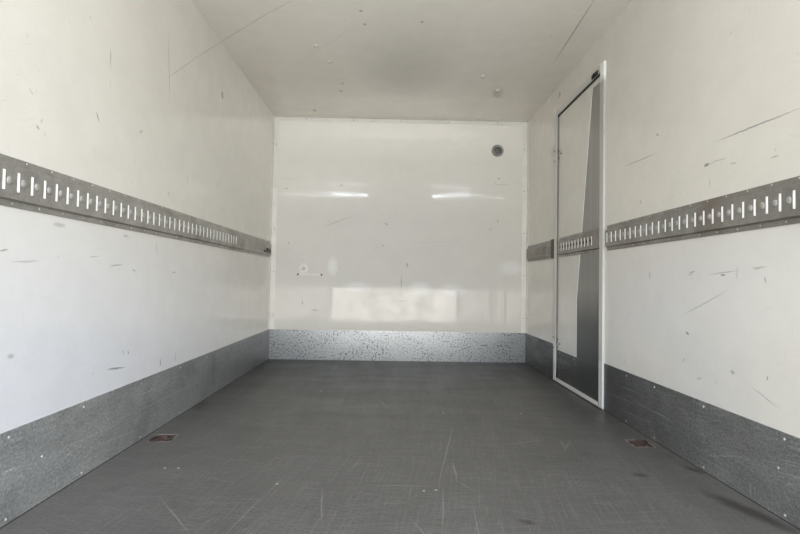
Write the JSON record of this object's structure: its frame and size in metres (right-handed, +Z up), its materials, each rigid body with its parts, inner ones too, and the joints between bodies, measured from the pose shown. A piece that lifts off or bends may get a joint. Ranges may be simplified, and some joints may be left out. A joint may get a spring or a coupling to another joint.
{
  "type": "truck box body",
  "caption": "Empty load box of a box truck with white panel walls, plywood deck, lashing rails, side door and open rear doors",
  "frame": {"origin": "centre of the body's length and width, on the plane that the subframe sills rest on, with the rear doors folded open", "axes": "+X to the right-hand side, +Y towards the front wall, +Z up"},
  "size_m": [2.3254, 4.331, 2.203],
  "materials": {
    "white_panel": "gloss gel coat on sandwich panels, scuffed",
    "white_trim": "white painted angle",
    "plywood": "dark phenolic film on plywood, worn",
    "galvanised_steel": "galvanised, dull and scratched",
    "aluminium_profile": "satin extrusion",
    "painted_steel": "light grey paint",
    "black_rubber": "matt black",
    "black_fitting": "matt black",
    "vent_plastic": "grey moulding",
    "lamp_lens": "coloured lens",
    "rusty_steel": "rusty pressed steel"
  },
  "bodies": {
    "box_body": {"bottom_rail_left": "aluminium_profile", "bottom_rail_right": "aluminium_profile", "chassis_brackets": "painted_steel", "cross_members": "galvanised_steel", "deck": "plywood", "front_bottom_rail": "aluminium_profile", "front_corner_caps": "aluminium_profile", "front_corner_trim": "white_trim", "front_top_rail": "aluminium_profile", "front_vent": "vent_plastic", "front_wall": "white_panel", "kick_plate_front": "galvanised_steel", "kick_plate_left": "galvanised_steel", "kick_plate_right_front": "galvanised_steel", "kick_plate_right_rear": "galvanised_steel", "lashing_points": "rusty_steel", "lashing_rail_left": "galvanised_steel", "lashing_rail_right_front": "galvanised_steel", "lashing_rail_right_rear": "galvanised_steel", "lock_keepers": "galvanised_steel", "longitudinal_sills": "painted_steel", "marker_lamps": "lamp_lens", "rear_buffers": "black_rubber", "rear_header": "painted_steel", "rear_post_left": "painted_steel", "rear_post_right": "painted_steel", "rear_sill": "painted_steel", "roof": "white_panel", "roof_rail_left": "aluminium_profile", "roof_rail_right": "aluminium_profile", "side_door_catch": "black_fitting", "side_door_header": "aluminium_profile", "side_door_hinge_butts": "galvanised_steel", "side_door_posts": "aluminium_profile", "side_door_seal": "black_rubber", "side_door_threshold": "aluminium_profile", "wall_left": "white_panel", "wall_right_front": "white_panel", "wall_right_header": "white_panel", "wall_right_rear": "white_panel"},
    "side_door": {"side_door_hinges": "galvanised_steel", "side_door_kick_plate": "galvanised_steel", "side_door_latch": "black_fitting", "side_door_panel": "white_panel", "side_door_rail": "galvanised_steel"},
    "rear_door_left": {"rear_door_left_hinges": "galvanised_steel", "rear_door_left_lock": "galvanised_steel", "rear_door_left_panel": "white_panel", "rear_door_left_seal": "black_rubber"},
    "rear_door_right": {"rear_door_right_hinges": "galvanised_steel", "rear_door_right_lock": "galvanised_steel", "rear_door_right_panel": "white_panel", "rear_door_right_seal": "black_rubber"}
  },
  "joints": [
    {"name": "side_door_hinge", "type": "hinge", "parent": "box_body", "child": "side_door", "pos_m": [1.091, 1.3305, 1.0615], "axis": [0, 0, 1], "range_deg": [0, 175]},
    {"name": "rear_door_left_hinge", "type": "hinge", "parent": "box_body", "child": "rear_door_left", "pos_m": [-1.103, -2.1465, 1.153], "axis": [0, 0, 1], "range_deg": [0, 270]},
    {"name": "rear_door_right_hinge", "type": "hinge", "parent": "box_body", "child": "rear_door_right", "pos_m": [1.103, -2.1465, 1.153], "axis": [0, 0, 1], "range_deg": [-270, 0]}
  ]
}
